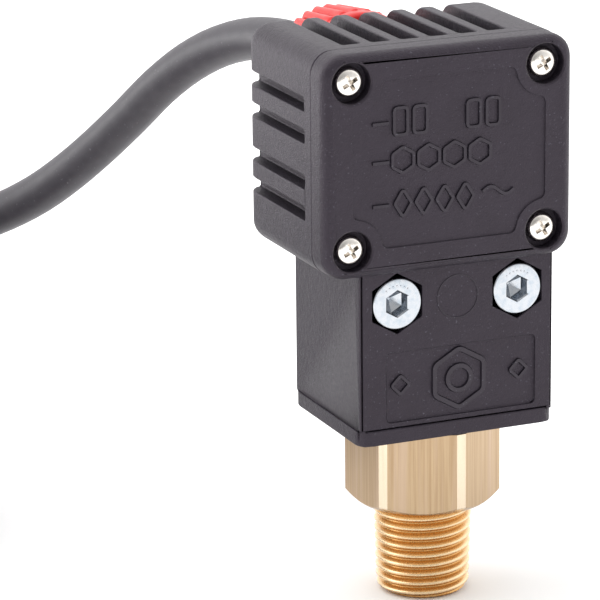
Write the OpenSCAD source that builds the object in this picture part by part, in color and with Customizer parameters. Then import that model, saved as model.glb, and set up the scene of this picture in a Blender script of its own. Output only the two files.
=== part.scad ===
// Piston pressure switch for a high-pressure pump: a brass inlet fitting with a taper thread carries
// a moulded head with a snap-action switch, a screwed cover and a cable gland.
// +Z points up, away from the thread, -Y is the cover side and +Y the gland side.
// The origin is on the thread axis, in the plane of the thread's tip. Sizes are in millimetres.

/* [Inlet fitting] */
// Thread diameter at the gauge plane
thread_d = 13.16; // [12.8:0.01:13.4]
// Thread pitch
thread_pitch = 1.337; // [1.2:0.001:1.4]
// Length from the thread's tip to the underside of the hexagon
thread_len = 13.2; // [12.5:0.1:13.5]
// Width across the flats of the hexagon
hex_af = 19; // [18.6:0.1:20]
// Diameter to which the hexagon's corners are turned
hex_turned_d = 21.2; // [20.6:0.1:21.8]
// Diameter of the barrel inside the head
barrel_d = 17; // [16.8:0.1:17]
// Diameter of the inlet port
port_d = 5; // [3:0.1:6]

/* [Block] */
// Width of the block that clamps the fitting
block_w = 28.3; // [28:0.1:30]
// Distance from the thread axis to the front of the block
block_front = 11.2; // [11:0.1:11.6]
// Distance from the thread axis to the rear of the block
block_rear = 10.8; // [10.8:0.1:12]
// Height of the block's underside above the thread's tip
block_z = 25.1; // [25.1:0.1:25.6]
// Distance of each clamp screw from the thread axis
clamp_x = 8.8; // [8.8:0.05:9]
// Height of the clamp screws above the thread's tip
clamp_z = 44.4; // [44.3:0.1:44.6]

/* [Box] */
// Width of the box
box_w = 36; // [36:0.5:40]
// Height of the box
box_h = 30; // [30:0.5:32]
// Distance from the thread axis to the front of the cover
box_front = 13.4; // [13.2:0.1:14]
// Distance from the thread axis to the rear wall
box_rear = 13.1; // [13:0.1:14]
// Thickness of the cover
cover_t = 4; // [3.8:0.1:4.2]
// Height of the box's underside above the thread's tip
box_z = 49; // [48.9:0.1:49.2]
// Width of the grooves in the sides
groove_w = 1.9; // [1.7:0.1:2.3]
// Width of the slots in the top
slot_w = 2.6; // [2:0.1:2.8]

/* [Mechanism] */
// Diameter of the piston
piston_d = 4; // [3.6:0.1:4]
// Travel of the piston from rest to its stop
travel = 0.9; // [0.5:0.1:1.2]
// Wire diameter of the setting spring
spring_wire = 1.4; // [1.2:0.1:1.4]
// Number of working turns of the setting spring
spring_turns = 5.5; // [4:0.5:6]

/* [Gland and cable] */
// Height of the gland's axis above the thread's tip
gland_z = 69.5; // [69:0.1:69.6]
// Outside diameter of the cable
cable_d = 6.2; // [5.8:0.1:6.2]
// Number of turns in the coil of spare cable
coil_turns = 4.28; // [3.28:1:5.28]
// Radius of the coil at the middle of its turns
coil_r = 32; // [31:1:37]

/* [Hidden] */
$fn = 64;
eps = 0.01;
cut = 20;

// Heights and radii inside the fitting
thread_depth = 0.64 * thread_pitch;
crest_r = thread_d / 2;
root_r = crest_r - thread_depth;
hex_top = block_z - 0.1;
barrel_top = 48;
barrel_r = barrel_d / 2;
clamp_groove_r = clamp_x - 2.05;
seal_z = 29.2;
pocket_z = 17;
bush_z = 20.4;
bush_top = 26.8;
chamber_z = 27;
chamber_r = 5.5;
piston_r = piston_d / 2;
slide_gap = 0.05;
seat_z = 28.6;
spring_z = 30;
adjuster_z = 42;
spring_r = 4.45;
stop_z = 31.2 + travel + 0.05;
pin_r = 1.5;

// The box, its cavity and its screws
box_x = -2.2;
box_cz = box_z + box_h / 2;
box_top = box_z + box_h;
seam_y = -box_front + cover_t;
cavity_half = 14.3;
cavity_rear = 10.6;
cavity_z0 = 52;
cavity_z1 = 76;
screw_dx = 13.9;
screw_dz = 11.2;
post_r = 2.8;
groove_depth = 1.5;
slot_depth = 2;
groove_start = seam_y + 2.2;
groove_dz = [-7.05, -2.85, 3.3, 7.6];
slot_pitch = 4.2;
slot_dx = -0.65;

// The switch inside the box
case_lo = [box_x - 13.9, -5.15, 56.4];
case_hi = [box_x + 13.9, 5.15, 72.3];
case_floor = 57.6;
case_roof = 71;
room_x0 = -11.3;
room_x1 = 6.1;
lid_t = 1;
hole_a = [-13.7, 59.2];
hole_b = [8.5, 69.5];
lug_top = 75.6;
lug_w = 4;
blade_z = 60.7;
blade_t = 0.3;
pivot = [-9, 61.4];
rivet_x = 3.8;

// The front plate and the clamp screws
plate_y = -4;
plate_z0 = block_z + 2.2;
plate_z1 = box_z - 0.2;
plate_half = block_w / 2 - 0.35;
m4_head_h = 4;
m4_seat = -block_front + m4_head_h - 0.1;
nut_y = 6.5;

// The gland
gland_x = box_x;
spigot_r = 7;
spigot_end = 21.5;
gland_bore_r = cable_d / 2 + 0.5;
seal_r = 5.45;
nut_start = 13.7;
nut_end = 27;
collar_end = 16.2;
nut_r0 = 8.8;
nut_r1 = 7.6;
rib_count = 28;

// The cable's route from inside the gland to the coil
route = [[-2.2, 11.5, 69.5], [-2.2, 19, 69.5], [-2.2, 27, 69.5], [-2.4, 33, 69.55], [-3.3, 40.1, 69.4],
         [-4.9, 47, 68.5], [-7.25, 53.4, 66.4], [-10, 59.1, 63.1], [-13, 63.9, 58.8],
         [-16.1, 68, 53.8], [-19.5, 72.1, 48.8], [-23, 76.2, 44.2], [-26.6, 80.5, 40.1],
         [-30.7, 84.7, 36.8], [-35.2, 88.6, 34.3], [-40.3, 92.1, 32.5], [-46.2, 94.9, 31.4],
         [-53, 97, 30.8], [-61, 98.6, 30.7], [-70.4, 100, 30.7]];
tail = [[-108, 68.5, 4.3], [-108, 61.5, 4.1], [-108, 54.5, 3.6], [-108, 48.5, 3.3], [-108, 43.5, 3.3]];
coil_x = -76;
coil_y = 68.5;
coil_base = 1.2;
core_r = 1.1;

// Unit direction from one point to another
function heading(a, b) = (b - a) / norm(b - a);

// Direction of a route at point i
function along(path, i) =
    heading(path[max(i - 1, 0)], path[min(i + 1, len(path) - 1)]);

// A sideways direction at right angles to t, which changes smoothly along a route
function sideways(t) = cross(t, abs(t.z) > 0.9 ? [1, 0, 0] : [0, 0, 1]) /
    norm(cross(t, abs(t.z) > 0.9 ? [1, 0, 0] : [0, 0, 1]));

// Round tube swept along a route
module tube(path, r, sides = 10) {
    rings = len(path);
    points = [for (i = [0 : rings - 1])
        let (t = along(path, i), u = sideways(t), v = cross(u, t))
        for (k = [0 : sides - 1])
            path[i] + r * (cos(360 * k / sides) * u + sin(360 * k / sides) * v)];
    walls = [for (i = [0 : rings - 2], k = [0 : sides - 1])
        let (a = i * sides + k, b = i * sides + (k + 1) % sides)
        each [[a, a + sides, b + sides], [a, b + sides, b]]];
    start = [[for (k = [0 : sides - 1]) k]];
    end = [[for (k = [sides - 1 : -1 : 0]) (rings - 1) * sides + k]];
    polyhedron(points, concat(walls, start, end), convexity = 4);
}

// Places a shape's +Z axis along +Y, starting at a point
module along_y(p) {
    translate(p) rotate([-90, 0, 0]) children();
}

// Box from its lowest to its highest corner
module block(lo, hi) {
    translate(lo) cube(hi - lo);
}

// Ring with a true bore, standing on z = 0
module ring(r_out, r_in, h) {
    difference() {
        cylinder(r = r_out, h = h);
        translate([0, 0, -1]) cylinder(r = r_in, h = h + 2);
    }
}

// Rectangle with round corners, centred
module soft_rect(w, h, r) {
    square([w - 2 * r, h], center = true);
    square([w, h - 2 * r], center = true);
    for (sx = [-1, 1], sy = [-1, 1])
        translate([sx * (w / 2 - r), sy * (h / 2 - r)]) circle(r);
}

// Rectangle from y = 0 to d with round corners at its far side only
module soft_end(w, d, r) {
    translate([-w / 2, 0]) square([w, d - r]);
    translate([-w / 2 + r, 0]) square([w - 2 * r, d]);
    for (s = [-1, 1]) translate([s * (w / 2 - r), d - r]) circle(r);
}

// Body with round edges all along its length in Y and round edges at its far end
module box_body(d, corner_r, edge_r) {
    intersection() {
        rotate([-90, 0, 0]) linear_extrude(d) soft_rect(box_w, box_h, corner_r);
        translate([0, 0, -box_h]) linear_extrude(2 * box_h) soft_end(box_w, d, edge_r);
        rotate([0, -90, 0]) translate([0, 0, -box_w]) linear_extrude(2 * box_w)
            soft_end(box_h, d, edge_r);
    }
}

// ---- fitting ----

// Annular crests stand for the taper thread, all at its gauge radius
module thread_blank() {
    land = 0.35;
    first = 0.45;
    crests = floor((thread_len - 1.3 - first) / thread_pitch);
    rise = (thread_pitch - 2 * land) / 2;
    profile = [for (i = [0 : crests], p = [[root_r, -rise], [crest_r, 0], [crest_r, land],
                                           [root_r, land + rise]])
        [p.x, first + i * thread_pitch + p.y]];
    rotate_extrude() polygon(concat([[0, 0], [root_r, 0]], profile,
        [[root_r, thread_len + eps], [0, thread_len + eps]]));
}

// Hexagon whose corners are turned round and chamfered at the underside
module turned_hex() {
    intersection() {
        translate([0, 0, thread_len]) rotate([0, 0, 35])
            cylinder(d = hex_af / cos(30), h = hex_top - thread_len, $fn = 6);
        rotate_extrude() polygon([[0, thread_len], [hex_af / 2 - 0.4, thread_len],
            [hex_turned_d / 2, thread_len + 0.9], [hex_turned_d / 2, hex_top], [0, hex_top]]);
    }
}

module inlet_fitting() {
    color("goldenrod") difference() {
        union() {
            thread_blank();
            turned_hex();
            translate([0, 0, hex_top - eps]) cylinder(r = barrel_r, h = barrel_top - hex_top + eps);
        }
        translate([0, 0, -1]) cylinder(d = port_d, h = cut);
        translate([0, 0, pocket_z]) cylinder(r = 3.8, h = cut);
        translate([0, 0, bush_z]) cylinder(r = 5, h = cut);
        translate([0, 0, chamber_z]) cylinder(r = chamber_r, h = 2 * cut);
        translate([0, 0, clamp_z - 2.3]) ring(barrel_r + 1, clamp_groove_r, 4.6);
        translate([0, 0, seal_z - 1.1]) ring(barrel_r + 1, 7, 2.2);
    }
}

module guide_bush() {
    color("peru") translate([0, 0, bush_z]) ring(4.97, piston_r + slide_gap, bush_top - bush_z);
}

module piston_o_ring() {
    color([0.1, 0.1, 0.1]) translate([0, 0, 18]) rotate_extrude() translate([2.92, 0]) circle(0.86);
}

module backup_ring() {
    color("white") translate([0, 0, 19]) ring(3.75, piston_r + slide_gap, 1.3);
}

module barrel_seal() {
    color([0.1, 0.1, 0.1]) translate([0, 0, seal_z]) rotate_extrude() translate([7.78, 0]) circle(0.76);
}

// Threaded ring that loads the spring, with a stop sleeve that limits the piston's travel
module spring_adjuster() {
    color("goldenrod") difference() {
        union() {
            translate([0, 0, adjuster_z]) cylinder(r = chamber_r - 0.03, h = 4);
            translate([0, 0, stop_z]) cylinder(r = 3.5, h = adjuster_z - stop_z + eps);
        }
        translate([0, 0, stop_z - 1]) cylinder(r = 1.9, h = cut);
        block([-6, -0.6, adjuster_z + 2.8], [6, 0.6, adjuster_z + 5]);
    }
}

module setting_spring() {
    steps = 14;
    low = spring_z + spring_wire / 2;
    high = adjuster_z - spring_wire / 2;
    total = floor(spring_turns * steps);
    color("silver") tube([for (i = [0 : total])
        [spring_r * cos(360 * i / steps), spring_r * sin(360 * i / steps),
         low + (high - low) * i / total]], spring_wire / 2, 8);
}

// ---- piston ----

module piston() {
    color("lightsteelblue") rotate_extrude() polygon([[0, 17.3], [piston_r - 0.3, 17.3],
        [piston_r, 17.6], [piston_r, bush_top + 0.05], [3.2, bush_top + 0.05], [3.2, seat_z],
        [1.2, seat_z], [1.2, 30.1], [0, 30.1]]);
}

module spring_seat() {
    color("silver") difference() {
        union() {
            translate([0, 0, seat_z]) cylinder(r = 5.2, h = spring_z - seat_z);
            translate([0, 0, seat_z]) cylinder(r = 3.6, h = 31.2 - seat_z);
        }
        translate([0, 0, seat_z - 1]) cylinder(r = 1.23, h = 5);
        translate([0, 0, 30.2]) cylinder(r = pin_r + 0.03, h = 5);
    }
}

module actuator_pin() {
    color("silver") rotate_extrude() polygon([[0, 30.2], [pin_r, 30.2], [pin_r, 55],
        [pin_r - 0.3, 55.3], [0, 55.3]]);
}

// ---- head ----

module housing() {
    color([0.13, 0.13, 0.14]) difference() {
        union() {
            difference() {
                translate([box_x, seam_y, box_cz]) box_body(box_rear - seam_y, 3, 3.2);
                box_grooves();
                block([box_x - cavity_half, seam_y - 1, cavity_z0],
                      [box_x + cavity_half, cavity_rear, cavity_z1]);
            }
            block_shell();
            box_inside();
            along_y([gland_x, box_rear - 1, gland_z]) cylinder(r = spigot_r, h = spigot_end - box_rear + 1);
        }
        for (sx = [-1, 1], sz = [-1, 1])
            along_y([box_x + sx * screw_dx, seam_y - 1, box_cz + sz * screw_dz])
                cylinder(r = 1.08, h = 7.5);
        for (h = [hole_a, hole_b]) along_y([h.x, case_hi.y - 1, h.y]) cylinder(r = 1.33, h = 6);
        translate([0, 0, block_z - 1]) cylinder(r = barrel_r + 0.1, h = 48.3 - block_z + 1);
        translate([0, 0, 45]) cylinder(r = pin_r + slide_gap, h = cut);
        for (sx = [-1, 1]) {
            along_y([sx * clamp_x, -cut, clamp_z]) cylinder(r = 2.15, h = 2 * cut);
            along_y([sx * clamp_x, nut_y, clamp_z]) rotate([0, 0, 30])
                cylinder(d = 7.1 / cos(30), h = cut, $fn = 6);
        }
        along_y([gland_x, cavity_rear - 1, gland_z]) cylinder(r = gland_bore_r, h = cut);
        along_y([gland_x, 15.5, gland_z]) cylinder(r = seal_r, h = cut);
        translate([box_x, seam_y, box_cz]) gasket_ring(1.3, 1);
        plate_blank(0.1);
    }
}

// Grooves along both sides and the top of the box, open at the rear
module box_grooves() {
    for (dz = groove_dz, side = [-1, 1])
        translate([box_x + side * box_w / 2, 0, box_cz + dz])
            block([-groove_depth, groove_start, -groove_w / 2], [groove_depth, cut, groove_w / 2]);
    for (i = [0 : 5])
        translate([box_x + slot_dx + (i - 2.5) * slot_pitch, 0, box_top])
            block([-slot_w / 2, groove_start, -slot_depth], [slot_w / 2, cut, slot_depth]);
}

// The lower block and its flange, before the bores are cut
module block_shell() {
    half = block_w / 2;
    mid = (block_rear - block_front) / 2;
    deep = block_rear + block_front;
    flange = 2.1;
    translate([0, mid, block_z + flange - eps]) linear_extrude(box_z - block_z - flange + eps)
        soft_rect(block_w, deep, 0.5);
    translate([0, mid, block_z]) linear_extrude(flange) soft_rect(block_w + 0.4, deep + 0.4, 1.8);
    block([-half, seam_y, box_z - 1], [half, block_rear, cavity_z0]);
}

// Corner posts for the cover screws, ledges under the switch and posts for the switch screws
module box_inside() {
    for (sx = [-1, 1], sz = [-1, 1]) intersection() {
        along_y([box_x + sx * screw_dx, seam_y, box_cz + sz * screw_dz])
            cylinder(r = post_r, h = cavity_rear - seam_y + 0.5);
        block([box_x - 17, seam_y, box_z + 1], [box_x + 17, box_rear, box_top - 2.5]);
    }
    for (x = [[case_lo.x, -6.5], [3.5, case_hi.x]])
        block([x[0] - 0.6, case_lo.y - 0.3, cavity_z0 - 0.5], [x[1] + 0.6, cavity_rear + 0.5, case_lo.z]);
    for (h = [hole_a, hole_b])
        along_y([h.x, case_hi.y, h.y]) cylinder(r = 2.7, h = cavity_rear - case_hi.y + 0.5);
}

// Rectangular ring that runs round the rim of the box, w wide and d deep
module gasket_ring(w, d) {
    rotate([-90, 0, 0]) linear_extrude(d) difference() {
        soft_rect(box_w - 3.3 + w, box_h - 3.3 + w, 2.2);
        soft_rect(box_w - 3.3 - w, box_h - 3.3 - w, 1);
    }
}

// The plate in the front of the block, wider at its face than at its back, grown by g
module plate_blank(g) {
    face = -block_front - (g > 0 ? 1 : 0);
    half = plate_half + g;
    translate([0, 0, plate_z0 - g]) linear_extrude(plate_z1 - plate_z0 + (g > 0 ? 0.3 : 0) + g)
        polygon([[-half, face], [half, face], [half, -block_front + 0.6], [half - 1.1, -block_front + 1.8],
                 [half - 1.1, plate_y + g], [-half + 1.1, plate_y + g],
                 [-half + 1.1, -block_front + 1.8], [-half, -block_front + 0.6]]);
}

module front_plate() {
    color([0.15, 0.15, 0.16]) difference() {
        plate_blank(0);
        translate([0, 0, block_z - 1]) cylinder(r = barrel_r + 0.1, h = 48.3 - block_z + 1);
        for (sx = [-1, 1]) {
            along_y([sx * clamp_x, -cut, clamp_z]) cylinder(r = 2.15, h = 2 * cut);
            along_y([sx * clamp_x, m4_seat - cut, clamp_z]) rotate([0, 0, 30])
                cylinder(d = 7.2 / cos(30), h = cut, $fn = 6);
        }
        block([-10.4, -cut, 28], [11.5, -block_front + 0.3, 37.7]);
    }
}

module clamp_screws() {
    color("gainsboro") for (sx = [-1, 1]) along_y([sx * clamp_x, m4_seat, clamp_z]) difference() {
        union() {
            translate([0, 0, -m4_head_h]) cylinder(r = 3.5, h = m4_head_h);
            cylinder(r = 2, h = 16.6);
        }
        translate([0, 0, -m4_head_h - 1]) rotate([0, 0, 30]) cylinder(d = 3 / cos(30), h = 3.2, $fn = 6);
    }
}

module clamp_nuts() {
    color("gainsboro") for (sx = [-1, 1]) along_y([sx * clamp_x, nut_y, clamp_z]) difference() {
        rotate([0, 0, 30]) cylinder(d = 7 / cos(30), h = 3.2, $fn = 6);
        translate([0, 0, -1]) cylinder(r = 2.03, h = 6);
    }
}

// Outline of the shallow panel on the cover, with a scooped corner round each screw
module panel_outline() {
    difference() {
        square([2 * screw_dx, 2 * screw_dz], center = true);
        for (sx = [-1, 1], sz = [-1, 1]) translate([sx * screw_dx, sz * screw_dz]) circle(4.3);
    }
}

module front_cover() {
    color([0.13, 0.13, 0.14]) difference() {
        translate([box_x, seam_y, box_cz]) mirror([0, 1, 0]) box_body(cover_t, 3.2, 1.5);
        for (sx = [-1, 1], sz = [-1, 1])
            along_y([box_x + sx * screw_dx, -box_front - 1, box_cz + sz * screw_dz]) {
                cylinder(r = 2.75, h = 2.9);
                cylinder(r = 1.25, h = cut);
            }
        translate([box_x, -box_front - 1, box_cz]) rotate([-90, 0, 0]) linear_extrude(1.3) panel_outline();
    }
}

module cover_gasket() {
    color([0.1, 0.1, 0.1]) translate([box_x, seam_y, box_cz]) gasket_ring(1.2, 0.95);
}

module cover_screws() {
    color("gainsboro") for (sx = [-1, 1], sz = [-1, 1])
        along_y([box_x + sx * screw_dx, -box_front + 0.45, box_cz + sz * screw_dz]) difference() {
            union() {
                rotate_extrude() polygon([[0, 0], [1.3, 0.05], [2, 0.6], [2, 1.45], [0, 1.45]]);
                translate([0, 0, 1.4]) cylinder(r = 1.05, h = 7.2);
            }
            block([-1.1, -0.3, -1], [1.1, 0.3, 0.8]);
            block([-0.3, -1.1, -1], [0.3, 1.1, 0.8]);
        }
}

// ---- switch ----

// Slots in the switch case for the three terminals
module lug_slots(gap) {
    for (x = [-11.1, -4.6, 1.9])
        block([x - gap, -0.4 - gap, case_roof - 1], [x + lug_w + gap, 0.4 + gap, case_hi.z + 1]);
}

module switch_case() {
    color([0.25, 0.1, 0.08]) difference() {
        block([case_lo.x, case_lo.y + lid_t, case_lo.z], case_hi);
        block([room_x0, -cut, case_floor], [room_x1, case_hi.y - lid_t, case_roof]);
        for (h = [hole_a, hole_b]) along_y([h.x, -cut, h.y]) cylinder(r = 1.55, h = 2 * cut);
        translate([0, 0, case_lo.z - 1]) cylinder(r = 1.65, h = 4);
        lug_slots(0.05);
    }
}

module switch_lid() {
    color([0.3, 0.12, 0.1]) difference() {
        block(case_lo, [case_hi.x, case_lo.y + lid_t, case_hi.z]);
        for (h = [hole_a, hole_b]) along_y([h.x, -cut, h.y]) cylinder(r = 1.55, h = 2 * cut);
    }
}

module switch_screws() {
    color("gainsboro") for (h = [hole_a, hole_b]) along_y([h.x, case_lo.y - 1.8, h.y]) {
        cylinder(r = 2.5, h = 1.8);
        translate([0, 0, 1.7]) cylinder(r = 1.3, h = 15);
    }
}

// Terminal lug from x, joined to a strip that goes down inside the case
module lug(x) {
    block([x, -0.4, case_roof - 0.3], [x + lug_w, 0.4, lug_top]);
}

module common_terminal() {
    color("gold") {
        lug(-11.1);
        block([-11.1, -2, 59.6], [-10.4, 2, case_roof - 0.1]);
        difference() {
            block([-11.1, -2.5, 59.6], [-8, 2.5, 62.3]);
            block([-10.4, -1.85, 60.3], [-7, 1.85, 63]);
        }
        along_y([pivot.x, -2.5, pivot.y]) cylinder(r = 0.5, h = 5);
    }
}

module closed_terminal() {
    color("gold") {
        lug(1.9);
        block([5.1, -2, 58.8], [5.9, 2, case_roof - 0.1]);
        block([2.6, -2, 58.8], [5.9, 2, 59.5]);
        translate([rivet_x, 0, 59.4]) cylinder(r = 1, h = blade_z - 0.1 - 59.4);
    }
}

module open_terminal() {
    color("gold") {
        lug(-4.6);
        block([-4.6, -2, 64.2], [-3.8, 2, case_roof - 0.1]);
        block([-4.6, -2, 64.2], [4.7, 2, 64.9]);
        translate([rivet_x, 0, 62.6]) cylinder(r = 1, h = 1.7);
    }
}

module switch_button() {
    color("white") rotate_extrude() polygon([[0, 55.4], [1.3, 55.4], [1.6, 55.7], [1.6, 57.7],
        [2.2, 57.7], [2.2, 58.5], [1.2, 58.5], [1.2, 60.3], [0.9, 60.6], [0, 60.6]]);
}

module contact_blade() {
    color("darkorange") difference() {
        union() {
            block([pivot.x, -1.7, blade_z - 0.2], [pivot.x + 1.4, 1.7, blade_z + blade_t]);
            block([pivot.x + 1, -1.7, blade_z], [4.8, 1.7, blade_z + blade_t]);
            along_y([pivot.x, -1.7, pivot.y]) cylinder(r = 0.9, h = 3.4);
        }
        along_y([pivot.x, -3, pivot.y]) cylinder(r = 0.55, h = 6);
    }
}

// ---- gland ----

module gland_seal() {
    color([0.1, 0.1, 0.1]) along_y([gland_x, 15.5, gland_z]) ring(seal_r - 0.05, cable_d / 2 + 0.03, 6.4);
}

module gland_washer() {
    color("white") along_y([gland_x, 21.9, gland_z]) ring(5.6, cable_d / 2 + 0.2, 0.8);
}

module gland_nut() {
    bottom = nut_r0 / nut_r1;
    color("red") along_y([gland_x, nut_start, gland_z]) difference() {
        union() {
            cylinder(r = nut_r0 - 0.2, h = collar_end - nut_start);
            translate([0, 0, nut_end - nut_start]) mirror([0, 0, 1])
                linear_extrude(nut_end - collar_end + eps, scale = bottom)
                    polygon([for (i = [0 : 4 * rib_count - 1])
                        let (r = nut_r1 - (i % 4 < 2 ? 0 : 0.6), a = 90 * i / rib_count)
                        r * [cos(a), sin(a)]]);
        }
        translate([0, 0, -1]) cylinder(r = spigot_r + 0.05, h = 21.9 - nut_start + 1);
        translate([0, 0, -1]) cylinder(r = 5.65, h = 22.75 - nut_start + 1);
        translate([0, 0, -1]) cylinder(r = cable_d / 2 + 0.15, h = cut);
    }
}

// ---- wires and cable ----

// Wire from the stripped end of the cable to the back of a terminal
module wire(x, dx, dz) {
    start = [gland_x + dx, route[0].y - 0.05, gland_z + dz];
    tube([start, start - [0, 1, 0], [gland_x + dx, 9.2, gland_z + dz + 0.9],
          [(gland_x + dx + x) / 2, 8.2, 72.4], [x, 7, 73.6], [x, 4.5, 74.1], [x, 0.42, 74.1]], 0.95, 8);
}

module wire_brown() {
    color("saddlebrown") wire(-9.1, -1.2, -0.7);
}

module wire_blue() {
    color("royalblue") wire(-2.6, 0, 1.4);
}

module wire_black() {
    color([0.1, 0.1, 0.1]) wire(3.9, 1.2, -0.7);
}

module supply_cable() {
    color([0.2, 0.2, 0.22]) tube(route, cable_d / 2, 12);
}

// Closed outer shape of the coiled spare length
module cable_coil() {
    high = coil_turns * cable_d + cable_d;
    color([0.2, 0.2, 0.22]) translate([coil_x, coil_y, coil_base]) rotate_extrude()
        translate([coil_r - cable_d / 2 - 0.1, 0]) square([cable_d + 0.2, high]);
}

module cable_tail() {
    color([0.2, 0.2, 0.22]) tube(tail, cable_d / 2, 12);
}

module cable_tie() {
    high = coil_turns * cable_d + cable_d;
    color([0.1, 0.1, 0.1]) translate([coil_x, coil_y, coil_base]) rotate([0, 0, 225])
        translate([coil_r, 0, 0]) {
            difference() {
                block([-4.3, -1.3, -1.1], [4.3, 1.3, high + 1.1]);
                block([-3.25, -2, -0.05], [3.25, 2, high + 0.05]);
            }
            block([4.25, -2.2, high - 5], [7.8, 2.2, high - 0.5]);
        }
}

// Stripped core from the end of the jacket: it starts dx aside and dz up, and spreads sideways
module end_core(dx, dz, spread) {
    p = tail[len(tail) - 1];
    tube([p + [dx, -0.05, dz], p + [dx, -5, dz], p + [dx + 0.5 * spread, -11, dz * 0.7],
          p + [dx + spread, -18, -0.5], p + [dx + spread, -25, -1], p + [dx + spread, -29, -1]],
         core_r, 8);
}

module end_brown() {
    color("saddlebrown") end_core(-1.3, -0.8, -3);
}

module end_blue() {
    color("royalblue") end_core(0, 1.4, 0);
}

module end_black() {
    color([0.1, 0.1, 0.1]) end_core(1.3, -0.8, 3);
}

// Crimped ferrules on the three cores
module ferrules() {
    p = tail[len(tail) - 1];
    color("silver") for (dx = [-4.3, 0, 4.3])
        translate(p + [dx, -29.05, -1]) rotate([90, 0, 0]) {
            cylinder(r = 1.5, h = 2.2);
            translate([0, 0, 2]) cylinder(r = 0.75, h = 6);
        }
}

inlet_fitting();
guide_bush();
piston_o_ring();
backup_ring();
spring_adjuster();
barrel_seal();
setting_spring();
piston();
spring_seat();
actuator_pin();
housing();
front_plate();
clamp_screws();
clamp_nuts();
front_cover();
cover_gasket();
cover_screws();
switch_case();
switch_lid();
switch_screws();
common_terminal();
closed_terminal();
open_terminal();
switch_button();
contact_blade();
gland_seal();
gland_washer();
gland_nut();
wire_brown();
wire_blue();
wire_black();
supply_cable();
cable_coil();
cable_tail();
cable_tie();
end_brown();
end_blue();
end_black();
ferrules();
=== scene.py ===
"""Looks of a piston pressure switch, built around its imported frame.

Lengths in the helpers and pieces are millimetres, and one factor turns them into metres. The cable's
route, the coil, the camera and the lights are in metres. +Z points up, -Y is the cover side and +Y the
gland side.
"""

import math

import bmesh
import bpy
from mathutils import Matrix, Vector


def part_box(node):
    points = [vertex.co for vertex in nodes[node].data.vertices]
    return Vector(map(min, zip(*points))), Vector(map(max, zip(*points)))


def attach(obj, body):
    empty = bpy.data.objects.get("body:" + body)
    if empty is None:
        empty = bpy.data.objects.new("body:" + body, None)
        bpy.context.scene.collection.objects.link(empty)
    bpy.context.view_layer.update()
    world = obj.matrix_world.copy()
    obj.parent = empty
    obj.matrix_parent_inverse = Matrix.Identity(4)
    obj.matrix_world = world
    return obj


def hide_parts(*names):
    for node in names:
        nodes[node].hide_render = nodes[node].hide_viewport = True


MM = 0.001
THREAD_PITCH = 1.337
THREAD_LENGTH = 13.2
THREAD_DEPTH = 0.8
THREAD_TAPER = 1 / 32
THREAD_GAUGE_R, THREAD_GAUGE_Z = 6.58, 6
THREAD_FOOT_R = THREAD_GAUGE_R - THREAD_GAUGE_Z * THREAD_TAPER

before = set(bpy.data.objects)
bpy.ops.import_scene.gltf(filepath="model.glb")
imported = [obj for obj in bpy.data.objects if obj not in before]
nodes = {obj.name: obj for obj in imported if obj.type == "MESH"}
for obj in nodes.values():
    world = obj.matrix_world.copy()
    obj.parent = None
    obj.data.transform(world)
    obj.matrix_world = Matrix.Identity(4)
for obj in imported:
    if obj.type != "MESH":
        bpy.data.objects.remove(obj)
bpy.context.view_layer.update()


def box_mm(node):
    """Lowest and highest corner of a CAD node in millimetres."""
    low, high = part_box(node)
    return low / MM, high / MM


# ---- camera ----

AIM = Vector((-0.01796, 0, 0.04314))
DISTANCE = 0.50276
AZIMUTH, ELEVATION, ROLL = (math.radians(x) for x in (23.04, 16.05, -0.61))
FOCAL_LENGTH = 225.9
TO_CAMERA = Vector((-math.sin(AZIMUTH) * math.cos(ELEVATION),
                    -math.cos(AZIMUTH) * math.cos(ELEVATION), math.sin(ELEVATION)))


def make_camera():
    """Long lens that looks at the switch from its left, a little above."""
    level = Vector((math.cos(AZIMUTH), -math.sin(AZIMUTH), 0))
    upright = TO_CAMERA.cross(level)
    right = math.cos(ROLL) * level + math.sin(ROLL) * upright
    up = math.cos(ROLL) * upright - math.sin(ROLL) * level
    data = bpy.data.cameras.new("camera")
    data.sensor_width = 36
    data.lens = FOCAL_LENGTH
    data.clip_start, data.clip_end = 0.01, 20
    camera = bpy.data.objects.new("camera", data)
    bpy.context.scene.collection.objects.link(camera)
    turn = Matrix((right, up, TO_CAMERA)).transposed()
    camera.matrix_world = Matrix.Translation(AIM + DISTANCE * TO_CAMERA) @ turn.to_4x4()
    bpy.context.scene.camera = camera


make_camera()


# ---- mesh helpers ----

def link(name, data):
    made = bpy.data.objects.new(name, data)
    bpy.context.scene.collection.objects.link(made)
    return made


def solid(name, shells):
    """Object from closed shells, each a list of points in millimetres and a list of faces."""
    mesh = bpy.data.meshes.new(name)
    bm = bmesh.new()
    for points, faces in shells:
        verts = [bm.verts.new(Vector(p) * MM) for p in points]
        for face in faces:
            bm.faces.new([verts[i] for i in face])
    bmesh.ops.remove_doubles(bm, verts=bm.verts, dist=0.0004 * MM)
    bmesh.ops.recalc_face_normals(bm, faces=bm.faces)
    bm.to_mesh(mesh)
    bm.free()
    return link(name, mesh)


def loft(rings, closed=False):
    """Shell through rings of equal length, with flat ends, or joined from last to first."""
    n = len(rings[0])
    points = [p for ring in rings for p in ring]
    faces = []
    for i in range(len(rings) if closed else len(rings) - 1):
        a, b = i * n, (i + 1) % len(rings) * n
        faces += [[a + k, a + (k + 1) % n, b + (k + 1) % n, b + k] for k in range(n)]
    if not closed:
        faces += [list(range(n - 1, -1, -1)), [(len(rings) - 1) * n + k for k in range(n)]]
    return points, faces


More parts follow.
